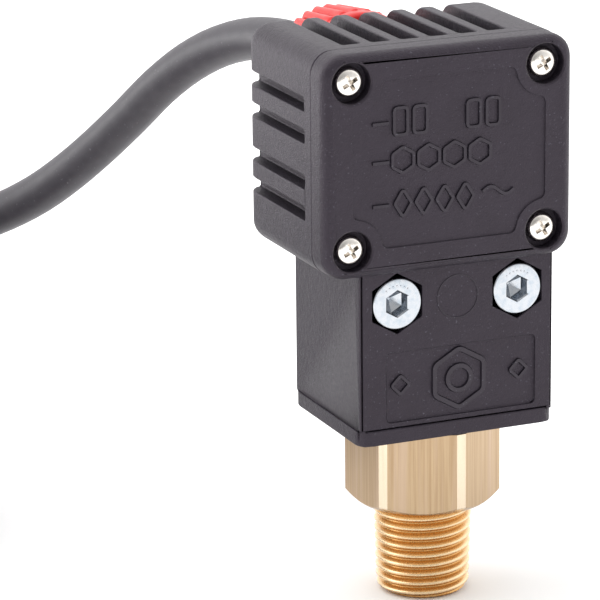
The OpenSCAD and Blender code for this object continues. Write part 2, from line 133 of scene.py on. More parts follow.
def rounded(corners, radii, steps=6):
    """Outline with an arc at each corner. Corners are in order, and radii is one number or one each."""
    made = []
    for i, corner in enumerate(corners):
        p = Vector(corner)
        before = (Vector(corners[i - 1]) - p).normalized()
        after = (Vector(corners[(i + 1) % len(corners)]) - p).normalized()
        r = radii if isinstance(radii, (int, float)) else radii[i]
        half = before.angle(after) / 2
        if r <= 0 or half > math.radians(89.9):
            made.append(tuple(p))
            continue
        centre = p + (before + after).normalized() * r / math.sin(half)
        start = p + before * r / math.tan(half) - centre
        end = p + after * r / math.tan(half) - centre
        sweep = math.atan2(start.x * end.y - start.y * end.x, start.dot(end))
        for k in range(steps + 1):
            turn = Matrix.Rotation(sweep * k / steps, 2)
            made.append(tuple(centre + turn @ start))
    return made


def rectangle(w, h, r, steps=6, centre=(0, 0)):
    """Round-cornered rectangle about a centre."""
    x, y = centre
    return rounded([(x - w / 2, y - h / 2), (x + w / 2, y - h / 2), (x + w / 2, y + h / 2),
                    (x - w / 2, y + h / 2)], r, steps)


def circle(r, n, centre=(0, 0)):
    return [(centre[0] + r * math.cos(2 * math.pi * k / n),
             centre[1] + r * math.sin(2 * math.pi * k / n)) for k in range(n)]


def lay(outline, axis, at):
    """Outline as a ring at a place on an axis.

    Its points are (x, z) along Y, (x, y) along Z and (y, z) along X.
    """
    if axis == "Y":
        return [(u, at, v) for u, v in outline]
    if axis == "Z":
        return [(u, v, at) for u, v in outline]
    return [(at, u, v) for u, v in outline]


def prism(outline, axis, low, high):
    return loft([lay(outline, axis, low), lay(outline, axis, high)])


def block(low, high):
    """Box between two corners."""
    outline = [(low[0], low[1]), (high[0], low[1]), (high[0], high[1]), (low[0], high[1])]
    return prism(outline, "Z", low[2], high[2])


def lathe(profile, columns=64, place=lambda x, y, z: (x, y, z)):
    """Closed profile of (radius, height) points turned about an axis."""
    rings = []
    for k in range(columns):
        a = 2 * math.pi * k / columns
        rings.append([place(r * math.cos(a), r * math.sin(a), h) for r, h in profile])
    return loft(rings, closed=True)


def along_y(x, y, z):
    """Placing that stands a turned shape along +Y from a point."""
    return lambda u, v, h: (x + u, y + h, z - v)


def against_y(x, y, z):
    """Placing that stands a turned shape along -Y from a point."""
    return lambda u, v, h: (x + u, y - h, z + v)


def carve(target, tool, operation="DIFFERENCE"):
    """Cuts a tool, an object or a list of shells, from the target, or joins it to the target."""
    if isinstance(tool, list):
        tool = solid("tool", tool)
    step = target.modifiers.new("carve", "BOOLEAN")
    step.operation = operation
    step.solver = "EXACT"
    step.object = tool
    bpy.context.view_layer.update()
    depsgraph = bpy.context.evaluated_depsgraph_get()
    mesh = bpy.data.meshes.new_from_object(target.evaluated_get(depsgraph))
    target.modifiers.clear()
    target.data = mesh
    bpy.data.objects.remove(tool)


def tidy(made):
    """Merges points that lie together and splits faces with many corners."""
    near = 0.004 * MM
    bm = bmesh.new()
    bm.from_mesh(made.data)
    bmesh.ops.remove_doubles(bm, verts=bm.verts, dist=near)
    bmesh.ops.dissolve_degenerate(bm, edges=bm.edges, dist=near)
    bmesh.ops.triangulate(bm, faces=[face for face in bm.faces if len(face.verts) > 4])
    bm.to_mesh(made.data)
    bm.free()


def soften(made, width):
    """Rounds the edges by a small bevel, and keeps the flat faces flat."""
    bevel = made.modifiers.new("edges", "BEVEL")
    bevel.width = width * MM
    bevel.segments = 2
    bevel.limit_method = "ANGLE"
    bevel.angle_limit = math.radians(32)
    bevel.use_clamp_overlap = False
    bevel.harden_normals = True
    shade(made, 180)


def shade(made, angle):
    """Smooth shading, with edges sharper than the angle in degrees left sharp."""
    for polygon in made.data.polygons:
        polygon.use_smooth = True
    if angle < 180:
        made.data.set_sharp_from_angle(angle=math.radians(angle))


def finish_piece(made, body, slot, *looks, stands_for=()):
    """Gives a piece its body and its materials. Its slot argument is not used."""
    for look in looks:
        made.data.materials.append(look)
    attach(made, body)
    if stands_for:
        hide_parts(*stands_for)


def spline(points, steps):
    """Centripetal Catmull-Rom curve through points, with a number of steps between each two."""
    p = [Vector(q) for q in points]
    p = [2 * p[0] - p[1], *p, 2 * p[-1] - p[-2]]
    made = []
    for a, b, c, d in zip(p, p[1:], p[2:], p[3:]):
        t1 = (b - a).length ** 0.5
        t2 = t1 + (c - b).length ** 0.5
        t3 = t2 + (d - c).length ** 0.5
        for k in range(steps):
            t = t1 + (t2 - t1) * k / steps
            ab = a + (b - a) * t / t1
            bc = b + (c - b) * (t - t1) / (t2 - t1)
            cd = c + (d - c) * (t - t2) / (t3 - t2)
            first = ab + (bc - ab) * t / t2
            second = bc + (cd - bc) * (t - t1) / (t3 - t1)
            made.append(first + (second - first) * (t - t1) / (t2 - t1))
    made.append(p[-2])
    return made


def tube(line, radius, sides=24):
    """Round tube along a line of points. Its rings turn with the line without twisting."""
    rings = []
    side = None
    for i, p in enumerate(line):
        ahead = (line[min(i + 1, len(line) - 1)] - line[max(i - 1, 0)]).normalized()
        if side is None:
            side = ahead.orthogonal().normalized()
        side = (side - ahead * side.dot(ahead)).normalized()
        other = ahead.cross(side)
        r = radius(i / (len(line) - 1)) if callable(radius) else radius
        rings.append([p + r * (math.cos(2 * math.pi * k / sides) * side
                               + math.sin(2 * math.pi * k / sides) * other) for k in range(sides)])
    return loft(rings)


def ridge(line, closed, half, height, base, face_y):
    """Raised ridge along a line of (x, z) points on a face that looks along -Y, sunk into it by base."""
    rings = []
    n = len(line)
    for i, point in enumerate(line):
        p = Vector(point)
        before = Vector(line[i - 1]) if closed or i else None
        after = Vector(line[(i + 1) % n]) if closed or i < n - 1 else None
        ways = [(p - before).normalized()] if before is not None else []
        ways += [(after - p).normalized()] if after is not None else []
        ahead = sum(ways, Vector((0, 0))).normalized()
        across = Vector((-ahead.y, ahead.x)) / max(0.4, ahead.dot(ways[0]))
        ring = []
        crown = 0.65 * half
        for w, y in ((-half, base), (-crown, -height), (crown, -height), (half, base)):
            q = p + w * across
            ring.append((q.x, face_y + y, q.y))
        rings.append(ring)
    return loft(rings, closed=closed)


# ---- materials ----

class Look:
    """A procedural material that is built a node at a time. Sizes of its patterns are in millimetres."""

    def __init__(self, name, colour, roughness, metallic=0.0, **sockets):
        self.material = bpy.data.materials.new(name)
        self.material.use_nodes = True
        self.tree = self.material.node_tree
        self.shader = self.tree.nodes["Principled BSDF"]
        self.shader.inputs["Base Color"].default_value = (*colour, 1)
        self.shader.inputs["Roughness"].default_value = roughness
        self.shader.inputs["Metallic"].default_value = metallic
        for key, value in sockets.items():
            self.shader.inputs[key.replace("_", " ")].default_value = value
        self.colour = None
        self.normal = None
        self.place = self.add("TexCoord").outputs["Object"]

    def add(self, kind, inputs=None, **settings):
        node = self.tree.nodes.new("ShaderNode" + kind)
        for key, value in settings.items():
            setattr(node, key, value)
        for key, value in (inputs or {}).items():
            if isinstance(value, bpy.types.NodeSocket):
                self.tree.links.new(value, node.inputs[key])
            else:
                node.inputs[key].default_value = value
        return node

    def noise(self, size, detail=2.0, stretch=(1, 1, 1), rough=0.5):
        """Noise with features about a size across, drawn out along the axes whose stretch is large."""
        place = self.add("Mapping", {"Vector": self.place, "Scale": [1 / s for s in stretch]})
        made = self.add("TexNoise", {"Vector": place.outputs[0], "Scale": 1 / (size * MM),
                                     "Detail": detail, "Roughness": rough})
        return made.outputs["Fac"]

    def ramp(self, value, first, last):
        """Value through a ramp between two (position, grey) stops."""
        node = self.add("ValToRGB", {"Fac": value})
        for element, (place, grey) in zip(node.color_ramp.elements, (first, last)):
            element.position = place
            element.color = (grey, grey, grey, 1)
        return node.outputs["Color"]

    def tint(self, share, colour):
        """Mixes a colour into the base colour by a share that varies over the surface."""
        base = self.colour or self.shader.inputs["Base Color"].default_value[:]
        first, second, mixed = 6, 7, 2
        mix = self.add("Mix", {first: base, second: (*colour, 1)}, data_type="RGBA")
        self.tree.links.new(share, mix.inputs["Factor"])
        self.colour = mix.outputs[mixed]
        self.tree.links.new(self.colour, self.shader.inputs["Base Color"])

    def vary_roughness(self, value, low, high):
        spread = self.add("MapRange", {"Value": value, "To Min": low, "To Max": high})
        self.tree.links.new(spread.outputs[0], self.shader.inputs["Roughness"])

    def bump(self, height, depth):
        """Relief whose full height is a depth in millimetres."""
        inputs = {"Height": height, "Distance": depth * MM, "Strength": 1.0}
        if self.normal:
            inputs["Normal"] = self.normal
        self.normal = self.add("Bump", inputs).outputs["Normal"]
        self.tree.links.new(self.normal, self.shader.inputs["Normal"])


def moulded(name, colour, fleck, roughness, grain, tint=(1, 1, 1)):
    """Moulded plastic with a fine spark-eroded grain, pale flecks and faint flow marks."""
    look = Look(name, colour, roughness, Specular_Tint=(*tint, 1), IOR=1.5)
    fine = look.noise(0.22, 2, rough=0.6)
    broad = look.noise(5, 3)
    look.tint(look.ramp(broad, (0.35, 0.0), (0.75, 0.5)), [min(1, c * 1.7 + 0.002) for c in colour])
    look.tint(look.ramp(look.noise(0.3, 1), (0.68, 0.0), (0.78, 0.7)), fleck)
    look.vary_roughness(look.noise(0.5, 3), roughness - 0.07, roughness + 0.1)
    look.bump(fine, grain)
    look.bump(look.noise(0.9, 2), grain * 0.8)
    return look.material


def drawn_brass():
    """Brass bar with fine scratches along Z and warm and pale streaks, as on the hexagon's flats."""
    look = Look("brass_drawn", (0.47, 0.34, 0.21), 0.3, metallic=1.0)
    streak = look.noise(0.32, 3, stretch=(1, 1, 60))
    look.tint(look.ramp(streak, (0.42, 0.0), (0.62, 0.6)), (0.35, 0.23, 0.13))
    look.tint(look.ramp(look.noise(0.9, 2, stretch=(1, 1, 40)), (0.5, 0.0), (0.68, 0.6)), (0.50, 0.37, 0.27))
    look.vary_roughness(look.noise(0.2, 2, stretch=(1, 1, 30)), 0.24, 0.42)
    look.bump(look.noise(0.11, 2, stretch=(1, 1, 90)), 0.006)
    return look.material


def turned_brass():
    """Turned brass with fine tool rings round Z, small colour changes and painted shade in the thread roots.
    """
    look = Look("brass_turned", (0.84, 0.64, 0.40), 0.26, metallic=1.0)
    look.tint(look.ramp(look.noise(2.5, 3), (0.4, 0.0), (0.7, 0.6)), (0.78, 0.55, 0.32))
    # painted shade: the colour darkens the deeper a point lies below the thread's crest line, so anything in
    # this material nearer the Z axis, such as the fitting's bores, is darkened too
    foot = THREAD_FOOT_R * MM
    across = look.add("VectorMath", {0: look.place, 1: (1, 1, 0)}, operation="MULTIPLY")
    radius = look.add("VectorMath", {0: across.outputs["Vector"]}, operation="LENGTH")
    height = look.add("SeparateXYZ", {0: look.place})
    crest = look.add("Math", {0: height.outputs["Z"], 1: THREAD_TAPER, 2: foot}, operation="MULTIPLY_ADD")
    sunk = look.add("Math", {0: crest.outputs[0], 1: radius.outputs["Value"]}, operation="SUBTRACT")
    share = look.add("Math", {0: sunk.outputs[0], 1: THREAD_DEPTH * MM}, operation="DIVIDE")
    look.tint(look.ramp(share.outputs[0], (0.2, 0.0), (0.75, 1.0)), (0.60, 0.34, 0.13))
    look.vary_roughness(look.noise(0.6, 2), 0.2, 0.34)
    look.bump(look.noise(0.05, 1, stretch=(60, 60, 1)), 0.0025)
    return look.material


def brass_with_painted_highlight():
    """Turned corner of the hexagon: a smoother finish from the tool, and a paler colour that is a painted
    highlight.
    """
    # painted highlight: the pale base colour stands in for light caught by the turned corners; the lower
    # roughness is the tool's finish
    look = Look("brass_painted_highlight", (0.72, 0.60, 0.45), 0.2, metallic=1.0)
    look.tint(look.ramp(look.noise(0.7, 2, stretch=(1, 1, 20)), (0.4, 0.0), (0.7, 0.6)), (0.64, 0.50, 0.36))
    look.vary_roughness(look.noise(0.4, 2), 0.14, 0.28)
    look.bump(look.noise(0.05, 1, stretch=(60, 60, 1)), 0.002)
    return look.material


def metal(name, colour, stain, roughness):
    """Plated or ground metal with soft stains and hair scratches."""
    look = Look(name, colour, roughness, metallic=1.0)
    look.tint(look.ramp(look.noise(0.8, 3), (0.45, 0.0), (0.7, 0.7)), stain)
    look.vary_roughness(look.noise(0.35, 3), max(0.05, roughness - 0.08), roughness + 0.1)
    look.bump(look.noise(0.12, 2), 0.002)
    return look.material


def red_plastic():
    """Satin red nylon, a little lighter where it's thin, with a trace of grain."""
    look = Look("red_nylon", (0.58, 0.014, 0.013), 0.4, Specular_IOR_Level=0.25, Subsurface_Weight=0.12,
                Subsurface_Scale=0.0012, Subsurface_Radius=(1.0, 0.25, 0.15))
    look.tint(look.ramp(look.noise(1.8, 3), (0.4, 0.0), (0.7, 0.6)), (0.74, 0.04, 0.034))
    look.vary_roughness(look.noise(0.4, 2), 0.24, 0.4)
    look.bump(look.noise(0.3, 2), 0.008)
    return look.material


def jacket(name, colour, light, roughness=0.42):
    """PVC sheath with faint marks along it and a soft satin surface."""
    look = Look(name, colour, roughness)
    look.tint(look.ramp(look.noise(1.6, 3), (0.4, 0.0), (0.75, 0.6)), light)
    look.tint(look.ramp(look.noise(0.35, 1), (0.7, 0.0), (0.8, 0.35)), [min(1, 3 * c + 0.03) for c in light])
    look.vary_roughness(look.noise(0.8, 3), roughness - 0.06, roughness + 0.12)
    look.bump(look.noise(0.5, 2), 0.01)
    look.bump(look.noise(4, 1), 0.03)
    return look.material


BLACK_RESIN = (0.0075, 0.0060, 0.0100)
BLACK = moulded("black_moulding", BLACK_RESIN, (0.08, 0.08, 0.10), 0.47, grain=0.09, tint=(1, 0.86, 1))
MARKS = moulded("raised_marks", BLACK_RESIN, (0.10, 0.10, 0.12), 0.3, grain=0.02, tint=(1, 0.9, 1))
RESIN = moulded("switch_resin", (0.16, 0.035, 0.02), (0.3, 0.1, 0.07), 0.35, grain=0.006)
GUIDE = moulded("guide_resin", (0.72, 0.69, 0.62), (0.85, 0.83, 0.78), 0.4, grain=0.005)
NYLON = moulded("tie_nylon", (0.010, 0.010, 0.011), (0.06, 0.06, 0.06), 0.38, grain=0.008)
RUBBER = moulded("seal_rubber", (0.014, 0.014, 0.014), (0.04, 0.04, 0.04), 0.65, grain=0.01)
RED = red_plastic()
DRAWN = drawn_brass()
TURNED = turned_brass()
HIGHLIGHT_BRASS = brass_with_painted_highlight()
ZINC = metal("zinc_plate", (0.52, 0.54, 0.57), (0.38, 0.44, 0.50), 0.2)
NICKEL = metal("nickel_plate", (0.83, 0.79, 0.74), (0.66, 0.62, 0.58), 0.16)
SPRING = metal("spring_steel", (0.42, 0.43, 0.45), (0.25, 0.25, 0.27), 0.3)
GROUND = metal("stainless", (0.62, 0.63, 0.65), (0.5, 0.51, 0.53), 0.18)
CONTACT = metal("contact_alloy", (0.78, 0.48, 0.24), (0.6, 0.34, 0.16), 0.24)
SHEATH = jacket("cable_sheath", (0.050, 0.045, 0.054), (0.070, 0.064, 0.074))
CORE = {"brown": jacket("core_brown", (0.14, 0.045, 0.018), (0.2, 0.07, 0.03), 0.3),
        "blue": jacket("core_blue", (0.02, 0.11, 0.4), (0.04, 0.17, 0.5), 0.3),
        "black": jacket("core_black", (0.012, 0.012, 0.013), (0.03, 0.03, 0.03), 0.3)}


# ---- supply cable ----

CABLE_D = 0.0062
ROUTE = [(-0.0022, 0.0115, 0.0695), (-0.0022, 0.019, 0.0695), (-0.0022, 0.027, 0.0695),
         (-0.0024, 0.033, 0.06955), (-0.0033, 0.0401, 0.0694), (-0.0049, 0.047, 0.0685),
         (-0.00725, 0.0534, 0.0664), (-0.010, 0.0591, 0.0631), (-0.013, 0.0639, 0.0588),
         (-0.0161, 0.068, 0.0538), (-0.0195, 0.0721, 0.0488), (-0.023, 0.0762, 0.0442),
         (-0.0266, 0.0805, 0.0401), (-0.0307, 0.0847, 0.0368), (-0.0352, 0.0886, 0.0343),
         (-0.0403, 0.0921, 0.0325), (-0.0462, 0.0949, 0.0314), (-0.053, 0.097, 0.0308),
         (-0.061, 0.0986, 0.0307), (-0.0704, 0.100, 0.0307)]
TAIL = [(-0.108, 0.0685, 0.0043), (-0.108, 0.0615, 0.0041), (-0.108, 0.0545, 0.0036),
        (-0.108, 0.0485, 0.0033), (-0.108, 0.0435, 0.0033)]
COIL_CENTRE = Vector((-0.076, 0.0685, 0))
COIL_R = 0.032
COIL_START = math.radians(80)
COIL_TURNS = 4 + 100 / 360
TURN_STEPS = 36
TIE_ANGLE = math.radians(225)


def coil_points():
    """Turns of the coil from the end of the route down to the start of the tail."""
    total = int(COIL_TURNS * TURN_STEPS)
    top, bottom = ROUTE[-1][2], TAIL[0][2]
    made = []
    for k in range(1, total):
        a = COIL_START + 2 * math.pi * COIL_TURNS * k / total
        made.append(COIL_CENTRE + Vector((COIL_R * math.cos(a), COIL_R * math.sin(a),
                                          top + (bottom - top) * k / total)))
    return made


def make_lead():
    """The whole cable with its tie, its three stripped cores and their ferrules."""
    line = spline([*ROUTE, *coil_points(), *TAIL], 3)
    lead = solid("lead", [tube([p / MM for p in line], CABLE_D / 2 / MM)])
    shade(lead, 40)
    finish_piece(lead, "head", "cable_jacket", SHEATH,
                 stands_for=("supply_cable", "cable_coil", "cable_tail"))
    with_it = [*make_tie(), *make_cores()]


def make_tie():
    """Cable tie round the coil: a strap with round corners, and its head with the strap's end."""
    low, high = box_mm("cable_coil")
    middle = (low.z + high.z) / 2
    tall = high.z - low.z
    deep, play = 6.5, 0.3
    thick, wide = 1.0, 2.5
    inner = rectangle(deep, tall + play, 2.6)
    outer = rectangle(deep + 2 * thick, tall + play + 2 * thick, 3.4)
    out = Vector((math.cos(TIE_ANGLE), math.sin(TIE_ANGLE), 0))
    across = Vector((-out.y, out.x, 0))
    centre = COIL_CENTRE / MM + out * COIL_R / MM + Vector((0, 0, middle))

    def placed(u, v, w):
        return centre + out * u + across * w + Vector((0, 0, v))

    rings = []
    for (iu, iv), (ou, ov) in zip(inner, outer):
        rings.append([placed(iu, iv, -wide / 2), placed(ou, ov, -wide / 2),
                      placed(ou, ov, wide / 2), placed(iu, iv, wide / 2)])
    strap = solid("tie_strap", [loft(rings, closed=True)])
    soften(strap, 0.18)
    finish_piece(strap, "head", "tie_nylon", NYLON, stands_for=("cable_tie",))
    face = deep / 2 + thick
    lock = (0, tall / 2 - 3.2)

    def section(u, width, height, r, steps):
        return [placed(u, v, w) for w, v in rectangle(width, height, r, steps, lock)]

    head = solid("tie_head", [loft([section(face - 0.3 + d, 4.3 - inset, 4.4 - inset, 0.8, 4)
                                    for d, inset in ((0, 0.3), (0.3, 0), (3.2, 0), (3.5, 0.5))])])
    carve(head, [loft([section(u, 2.9, 1.3, 0.2, 2) for u in (face + 1.2, face + 5)])])
    soften(head, 0.15)
    finish_piece(head, "head", "tie_nylon", NYLON)
    end = solid("tie_end", [loft([section(face + 1.0 + 0.25 * k, 2.4, 0.8 + 0.25 * (k % 2), 0.2, 2)
                                  for k in range(9)])])
    shade(end, 30)
    finish_piece(end, "head", "tie_nylon", NYLON)
    return [strap, head, end]


def make_cores():
    """Three cores that spread from the jacket's end, each with a crimped ferrule."""
    start = Vector(TAIL[-1]) / MM
    made = []
    for name, dx, dz, spread in (("brown", -1.3, -0.8, -3), ("blue", 0, 1.4, 0), ("black", 1.3, -0.8, 3)):
        line = spline([start + Vector(p) for p in
                       ((dx, 1.5, dz), (dx, -5, dz), (dx + 0.5 * spread, -11, dz * 0.7),
                        (dx + spread, -18, -0.5), (dx + spread, -25, -1), (dx + spread, -29.5, -1))], 6)
        core = solid("stripped_" + name, [tube(line, 1.1, 20)])
        shade(core, 40)
        finish_piece(core, "head", "core_" + name, CORE[name], stands_for=("end_" + name,))
        foot = start + Vector((dx + spread, -29.05, -1))
        profile = [(0, 0), (1.3, 0), (1.5, 0.25), (1.45, 1.9), (1.2, 2.2), (0.75, 2.3)]
        profile += [(0.75 - 0.09 * (k % 2), 2.6 + 0.32 * k) for k in range(10)]
        profile += [(0.75, 5.9), (0.75, 7.9), (0.66, 8.0), (0, 8.0)]
        ferrule = solid("ferrule_" + name, [lathe(profile, 32, against_y(*foot))])
        shade(ferrule, 30)
        finish_piece(ferrule, "head", "zinc_steel", ZINC, stands_for=("ferrules",))
        made += [core, ferrule]
    return made


make_lead()


# ---- inlet fitting ----

BARREL_R = 8.5


def make_fitting():
    """Brass fitting: taper thread on one helix, hexagon with turned corners, barrel and bores."""
    top = box_mm("inlet_fitting")[1].z
    hex_top = box_mm("housing")[0].z - 0.1
    flat_r, corner_r, turn = 9.5, 10.6, math.radians(5)
    chamfer_r, chamfer_rise = 9.1, 0.643
    sixth = math.pi / 3
    flat_half = math.acos(flat_r / corner_r)
    flat_steps, corner_steps, pitch_steps = 16, 4, 16
    columns = []
    for side in range(6):
        middle = turn + side * sixth
        columns += [middle - flat_half + 2 * flat_half * k / flat_steps for k in range(flat_steps)]
        rest = sixth - 2 * flat_half
        columns += [middle + flat_half + rest * k / corner_steps for k in range(corner_steps)]
    start = columns[0]

    def thread_radius(turned, z):
        phase = (z / THREAD_PITCH - turned / (2 * math.pi)) % 1.0
        crest = 0.5 + 0.5 * math.cos(2 * math.pi * phase)
        outer = THREAD_FOOT_R + z * THREAD_TAPER
        lead_in = 5.45 + z * 1.1
        return min(lead_in, outer - THREAD_DEPTH * (1 - crest), outer - 0.03)

    barrel_and_bores = [
        (BARREL_R, 28.1), (7, 28.1), (7, 30.3), (BARREL_R, 30.3), (BARREL_R, 42.1), (6.75, 42.1),
        (6.75, 46.7), (BARREL_R, 46.7), (BARREL_R, top - 0.3), (BARREL_R - 0.3, top), (5.5, top), (5.5, 27),
        (5, 27), (5, 20.4), (3.8, 20.4), (3.8, 17), (2.5, 17), (2.5, 0.4), (2.9, 0)]
    rings = []
    for k in range(len(columns) + 1):
        angle = columns[k] if k < len(columns) else start + 2 * math.pi
        turned = angle - start
        hex_r = corner_r
        for side in range(6):
            off = (angle - turn - side * sixth + math.pi) % (2 * math.pi) - math.pi
            if abs(off) <= flat_half + 1e-6:
                hex_r = flat_r / math.cos(off)
        profile = []
        rows = int(THREAD_LENGTH / THREAD_PITCH * pitch_steps) + 2 * pitch_steps
        for j in range(rows):
            z = THREAD_PITCH * (j / pitch_steps + turned / (2 * math.pi) - 1)
            z = min(max(z, 0.0), THREAD_LENGTH)
            profile.append((thread_radius(turned, z), z))
        edge = THREAD_LENGTH + (hex_r - chamfer_r) * chamfer_rise
        profile += [(chamfer_r, THREAD_LENGTH), (hex_r - 0.12, edge - 0.05), (hex_r, edge + 0.1),
                    (hex_r, hex_top - 0.25), (hex_r - 0.25, hex_top), (BARREL_R, hex_top)]
        profile += barrel_and_bores
        rings.append([(r * math.cos(angle), r * math.sin(angle), z) for r, z in profile])
    points, faces = loft(rings, closed=True)
    # the helix comes round one pitch higher, so its last column meets the first by merging
    n = len(rings[0])
    closing = (len(rings) - 2) * n
    faces = [f for f in faces if max(f) - min(f) < closing]
    made = solid("fitting_body", [(points, faces)])
    bm = bmesh.new()
    bm.from_mesh(made.data)
    bmesh.ops.dissolve_degenerate(bm, edges=bm.edges, dist=0.001 * MM)
    bmesh.ops.holes_fill(bm, edges=[e for e in bm.edges if e.is_boundary], sides=0)
    bmesh.ops.recalc_face_normals(bm, faces=bm.faces)
    for face in bm.faces:
        face.smooth = True
        middle = face.calc_center_median() / MM
        on_side = THREAD_LENGTH + 0.02 < middle.z < hex_top and middle.xy.length > 9
        off = (math.atan2(middle.y, middle.x) - turn + sixth / 2) % sixth - sixth / 2
        # the turned corners take the brass with the painted highlight (index 2), the flats the drawn brass
        # (index 1)
        face.material_index = (2 if abs(off) > flat_half else 1) if on_side else 0
    for edge in bm.edges:
        z = max(v.co.z for v in edge.verts) / MM
        if len(edge.link_faces) == 2:
            limit = math.radians(12 if z > THREAD_LENGTH + 0.01 else 55)
            edge.smooth = edge.calc_face_angle(0) < limit
    bm.to_mesh(made.data)
    bm.free()
    finish_piece(made, "fitting", "brass", TURNED, DRAWN, HIGHLIGHT_BRASS, stands_for=("inlet_fitting",))


# ---- head ----

COVER_LOW, COVER_HIGH = box_mm("front_cover")
PLATE_LOW, PLATE_HIGH = box_mm("front_plate")
HOUSE_LOW, HOUSE_HIGH = box_mm("housing")
NUT_LOW, NUT_HIGH = box_mm("gland_nut")
BOX_X = (COVER_LOW.x + COVER_HIGH.x) / 2
BOX_Z = (COVER_LOW.z + COVER_HIGH.z) / 2
BOX_W = COVER_HIGH.x - COVER_LOW.x
BOX_H = COVER_HIGH.z - COVER_LOW.z
SEAM_Y = COVER_HIGH.y
REAR_Y = 13.1
BLOCK_HALF = PLATE_HIGH.x + 0.35
BLOCK_FRONT = PLATE_LOW.y
BLOCK_REAR = 10.8
BLOCK_Z = HOUSE_LOW.z
SOCKET_R = BARREL_R + 0.1
SOCKET_TOP = 48.3
CLAMP_Z = 44.4
GLAND_Z = (NUT_LOW.z + NUT_HIGH.z) / 2
CLAMP_X = 8.8
SCREW_DX, SCREW_DZ = 13.9, 11.2
SCREWS = [(BOX_X + sx * SCREW_DX, BOX_Z + sz * SCREW_DZ) for sx in (-1, 1) for sz in (-1, 1)]
CASE_SCREWS = [(-13.7, 59.2), (8.5, 69.5)]


def body_rings(y0, y1, corner, edge):
    """Rings of a box body along Y, whose far end has a round edge. y1 may be less than y0."""
    steps = 6
    way = 1 if y1 > y0 else -1
    rings = [lay(rectangle(BOX_W, BOX_H, corner, 7, (BOX_X, BOX_Z)), "Y", y0)]
    for k in range(steps + 1):
        a = math.pi / 2 * k / steps
        inset = edge * (1 - math.cos(a))
        y = y1 - way * edge * (1 - math.sin(a))
        rings.append(lay(rectangle(BOX_W - 2 * inset, BOX_H - 2 * inset, max(corner - inset, 0.5), 7,
                                   (BOX_X, BOX_Z)), "Y", y))
    return rings


def slot_outline(half, flare):
    """Slot from its front end to beyond the rear, where it widens so that the ribs end round."""
    r = 0.4
    y0 = SEAM_Y + 2.2
    front = [(y0 + r - r * math.sin(a), half - r + r * math.cos(a))
             for a in (math.pi / 2 * k / 4 for k in range(5))]
    front += [(y, -z) for y, z in reversed(front)]
    lower = [(REAR_Y - flare + flare * math.sin(a), -half - flare * (1 - math.cos(a)))
             for a in (math.pi / 2 * k / 6 for k in range(7))]
    upper = [(y, -z) for y, z in reversed(lower)]
    beyond = [(REAR_Y + 2, -half - flare), (REAR_Y + 2, half + flare)]
    return front + lower + beyond + upper


def side_grooves():
    """Cutters for the grooves in both sides."""
    made = []
    deep, beyond = 2.1, 2
    for dz in (-7.05, -2.85, 3.3, 7.6):
        outline = [(y, BOX_Z + dz + z) for y, z in slot_outline(0.95, 0.8)]
        for side in (-1, 1):
            face = BOX_X + side * BOX_W / 2
            low, high = sorted((face - side * deep, face + side * beyond))
            made.append(prism(outline, "X", low, high))
    return made


def top_slots():
    """Cutters for the slots in the top."""
    made = []
    count, pitch, offset = 6, 4.2, -0.65
    for i in range(count):
        x = BOX_X + offset + (i - (count - 1) / 2) * pitch
        outline = [(x + z, y) for y, z in slot_outline(1.3, 0.5)]
        made.append(prism(outline, "Z", COVER_HIGH.z - 2, COVER_HIGH.z + 2))
    return made


def hexagon(across_flats, centre, steps=2, r=0.15):
    """Hexagon with corners up and down."""
    far = across_flats / math.sqrt(3)
    return rounded([(centre[0] + far * math.cos(math.radians(30 + 60 * k)),
                     centre[1] + far * math.sin(math.radians(30 + 60 * k))) for k in range(6)], r, steps)


def diamond(x, z, half_width, half_height, r):
    return rounded([(x - half_width, z), (x, z - half_height), (x + half_width, z), (x, z + half_height)],
                   r, 3)


def plate_outline(grow):
    """Outline of the front plate seen from above: its sides step in behind the face."""
    half = PLATE_HIGH.x + grow
    neck = half - 1.1
    front = BLOCK_FRONT - (1 if grow else 0)
    step, behind, back = BLOCK_FRONT + 0.6, BLOCK_FRONT + 1.8, PLATE_HIGH.y + grow
    return [(-half, front), (half, front), (half, step), (neck, behind), (neck, back), (-neck, back),
            (-neck, behind), (-half, step)]


def hole(r, length, columns, place):
    """Plain round cutter of a length from a place."""
    return lathe([(0, 0), (r, 0), (r, length), (0, length)], columns, place)


def clamp_hole(side):
    return hole(2.15, 40, 32, along_y(side * CLAMP_X, -20, CLAMP_Z))


